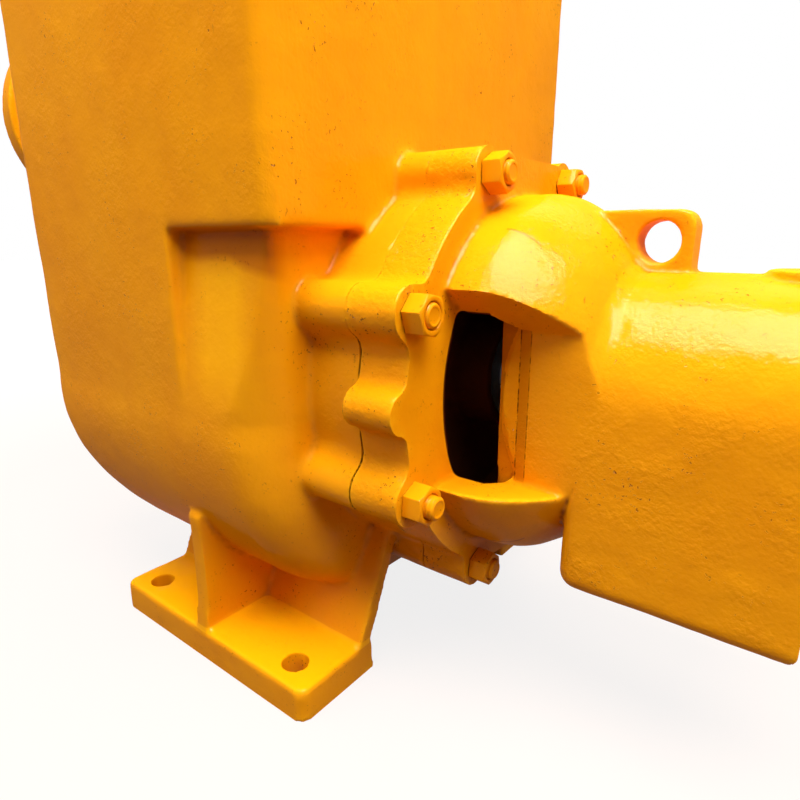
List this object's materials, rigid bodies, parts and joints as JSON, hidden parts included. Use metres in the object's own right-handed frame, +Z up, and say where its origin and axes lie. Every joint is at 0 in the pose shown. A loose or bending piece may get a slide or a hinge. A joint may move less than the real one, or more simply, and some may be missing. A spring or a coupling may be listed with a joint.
{
  "type": "self-priming sewage pump",
  "caption": "Horizontal self-priming sewage pump: cast casing with priming chamber, windowed bearing housing, suction check valve, flanged ports and a bare drive shaft",
  "frame": {"origin": "centre of the four foot bolt holes, on the plane the feet stand on", "axes": "+X along the shaft towards the drive end, +Z up, +Y to the side that the picture does not show"},
  "size_m": [0.961, 0.3982, 0.7],
  "materials": {
    "yellow_paint": "gloss",
    "machined_steel": "satin",
    "grey_iron": "matte",
    "black_rubber": "matte",
    "brass": "satin",
    "sight_glass": "gloss",
    "seal_face": "satin"
  },
  "bodies": {
    "pump": {"air_vent": "yellow_paint", "bearing_cap": "yellow_paint", "bearing_cap_gasket": "black_rubber", "bearing_cap_screws": "yellow_paint", "bearing_housing": "yellow_paint", "casing_drain_plug": "yellow_paint", "check_valve_body": "yellow_paint", "check_valve_fasteners": "yellow_paint", "check_valve_gasket": "black_rubber", "clamp_pin": "yellow_paint", "discharge_fasteners": "yellow_paint", "discharge_flange": "yellow_paint", "discharge_gasket": "black_rubber", "fill_cover": "yellow_paint", "fill_gasket": "black_rubber", "flap_pin": "machined_steel", "front_cover": "yellow_paint", "front_cover_handle": "yellow_paint", "front_cover_o_ring": "black_rubber", "front_cover_studs": "yellow_paint", "housing_nuts": "yellow_paint", "housing_studs": "yellow_paint", "inboard_bearing_outer": "machined_steel", "inboard_oil_seal": "black_rubber", "joint_shims": "yellow_paint", "oil_drain_plug": "yellow_paint", "oil_gauge_glass": "sight_glass", "oil_gauge_ring": "brass", "outboard_bearing_outer": "machined_steel", "outboard_oil_seal": "black_rubber", "pump_casing": "yellow_paint", "relief_valve": "brass", "seal_plate": "yellow_paint", "seal_plate_lip_seal": "black_rubber", "seal_plate_o_ring": "black_rubber", "seal_plate_screws": "machined_steel", "seal_seat": "seal_face", "valve_access_bolts": "yellow_paint", "valve_access_cover": "yellow_paint", "valve_access_gasket": "black_rubber", "wear_plate": "grey_iron", "wear_plate_spacers": "machined_steel"},
    "rotor": {"shaft": "machined_steel", "impeller": "grey_iron", "impeller_bolt": "machined_steel", "shaft_sleeve": "machined_steel", "slinger_ring": "black_rubber", "seal_head": "seal_face", "seal_spring": "machined_steel", "inboard_bearing_inner": "machined_steel", "outboard_bearing_inner": "machined_steel", "bearing_lock_ring": "machined_steel"},
    "flap": {"check_valve_flap": "grey_iron", "flap_facing": "black_rubber"},
    "clamp": {"clamp_bar": "yellow_paint"},
    "clamp_screw_body": {"clamp_screw": "machined_steel"},
    "nut_1": {"hand_nut_1": "yellow_paint"},
    "nut_2": {"hand_nut_2": "yellow_paint"},
    "nut_3": {"hand_nut_3": "yellow_paint"},
    "nut_4": {"hand_nut_4": "yellow_paint"}
  },
  "joints": [
    {"name": "rotor_spin", "type": "hinge", "parent": "pump", "child": "rotor", "pos_m": [0.3, 0, 0.245], "axis": [1, 0, 0], "continuous": true},
    {"name": "flap_swing", "type": "hinge", "parent": "pump", "child": "flap", "pos_m": [-0.4147, 0, 0.557], "axis": [0, -1, 0], "range_deg": [0, 50]},
    {"name": "clamp_bar_swing", "type": "hinge", "parent": "pump", "child": "clamp", "pos_m": [-0.146, 0.062, 0.663], "axis": [0, 0, -1], "range_deg": [0, 90]},
    {"name": "clamp_screw_turn", "type": "hinge", "parent": "clamp", "child": "clamp_screw_body", "pos_m": [-0.146, 0, 0.67], "axis": [0, 0, 1], "range_deg": [0, 720]},
    {"name": "hand_nut_1_turn", "type": "hinge", "parent": "pump", "child": "nut_1", "pos_m": [-0.246, -0.11, 0.135], "axis": [-1, 0, 0], "range_deg": [0, 720]},
    {"name": "hand_nut_2_turn", "type": "hinge", "parent": "pump", "child": "nut_2", "pos_m": [-0.246, -0.11, 0.355], "axis": [-1, 0, 0], "range_deg": [0, 720]},
    {"name": "hand_nut_3_turn", "type": "hinge", "parent": "pump", "child": "nut_3", "pos_m": [-0.246, 0.11, 0.135], "axis": [-1, 0, 0], "range_deg": [0, 720]},
    {"name": "hand_nut_4_turn", "type": "hinge", "parent": "pump", "child": "nut_4", "pos_m": [-0.246, 0.11, 0.355], "axis": [-1, 0, 0], "range_deg": [0, 720]}
  ]
}
